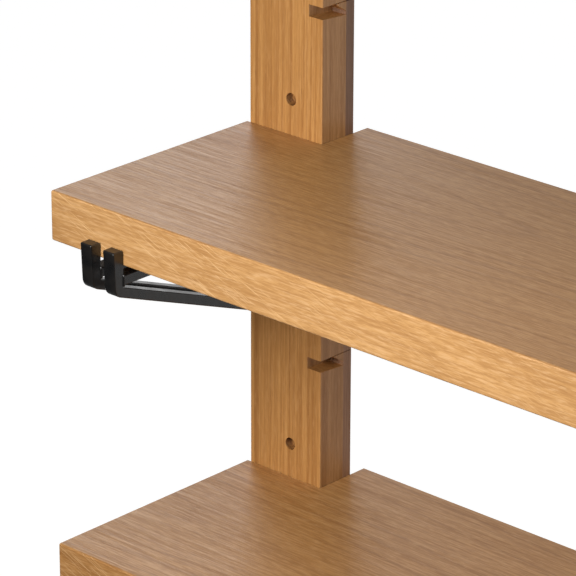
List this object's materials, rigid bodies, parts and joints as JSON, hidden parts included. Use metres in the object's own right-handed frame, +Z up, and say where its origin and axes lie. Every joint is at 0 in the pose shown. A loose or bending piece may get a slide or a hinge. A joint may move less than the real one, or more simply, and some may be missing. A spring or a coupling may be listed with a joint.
{
  "type": "wall shelf with brackets",
  "caption": "Wall shelving: notched oak uprights carry thick lift-off oak shelves on black forged iron brackets whose upturned fingers hold the shelves' front edges.",
  "frame": {"origin": "on the wall plane, at the centre of the four outer wall screws", "axes": "+X along the wall, to the right as seen from the room; +Y into the wall; +Z up"},
  "size_m": [0.9, 0.3433, 0.78],
  "materials": {
    "shelf_oak": "oiled oak, fine lengthwise grain",
    "upright_oak": "oiled oak, straight vertical grain",
    "dark_backing": "dark oiled wood",
    "batten_wood": "planed softwood, no finish",
    "black_iron": "forged, waxed black, slightly satin",
    "screw_steel": "zinc plated",
    "felt": "dense wool felt"
  },
  "bodies": {
    "wall_frame": {"left_upright_backing": "dark_backing", "left_upright_board": "upright_oak", "left_wall_batten": "batten_wood", "left_wood_screws": "screw_steel", "lower_left_felt_strips": "felt", "lower_left_hook": "black_iron", "lower_left_hook_arm": "black_iron", "lower_left_hook_strut": "black_iron", "lower_left_hook_top_bar": "black_iron", "lower_left_peg": "black_iron", "lower_left_peg_arm": "black_iron", "lower_left_peg_strut": "black_iron", "lower_left_peg_top_bar": "black_iron", "lower_left_rest_bars": "black_iron", "lower_right_felt_strips": "felt", "lower_right_hook": "black_iron", "lower_right_hook_arm": "black_iron", "lower_right_hook_strut": "black_iron", "lower_right_hook_top_bar": "black_iron", "lower_right_peg": "black_iron", "lower_right_peg_arm": "black_iron", "lower_right_peg_strut": "black_iron", "lower_right_peg_top_bar": "black_iron", "lower_right_rest_bars": "black_iron", "right_upright_backing": "dark_backing", "right_upright_board": "upright_oak", "right_wall_batten": "batten_wood", "right_wood_screws": "screw_steel", "upper_left_felt_strips": "felt", "upper_left_hook": "black_iron", "upper_left_hook_arm": "black_iron", "upper_left_hook_strut": "black_iron", "upper_left_hook_top_bar": "black_iron", "upper_left_peg": "black_iron", "upper_left_peg_arm": "black_iron", "upper_left_peg_strut": "black_iron", "upper_left_peg_top_bar": "black_iron", "upper_left_rest_bars": "black_iron", "upper_right_felt_strips": "felt", "upper_right_hook": "black_iron", "upper_right_hook_arm": "black_iron", "upper_right_hook_strut": "black_iron", "upper_right_hook_top_bar": "black_iron", "upper_right_peg": "black_iron", "upper_right_peg_arm": "black_iron", "upper_right_peg_strut": "black_iron", "upper_right_peg_top_bar": "black_iron", "upper_right_rest_bars": "black_iron"},
    "upper_shelf": {"upper_shelf": "shelf_oak"},
    "lower_shelf": {"lower_shelf": "shelf_oak"}
  },
  "joints": [
    {"name": "upper_shelf_lift", "type": "slide", "parent": "wall_frame", "child": "upper_shelf", "axis": [0, 0, 1], "range_m": [0, 0.25]},
    {"name": "lower_shelf_lift", "type": "slide", "parent": "wall_frame", "child": "lower_shelf", "axis": [0, 0, 1], "range_m": [0, 0.15]}
  ]
}
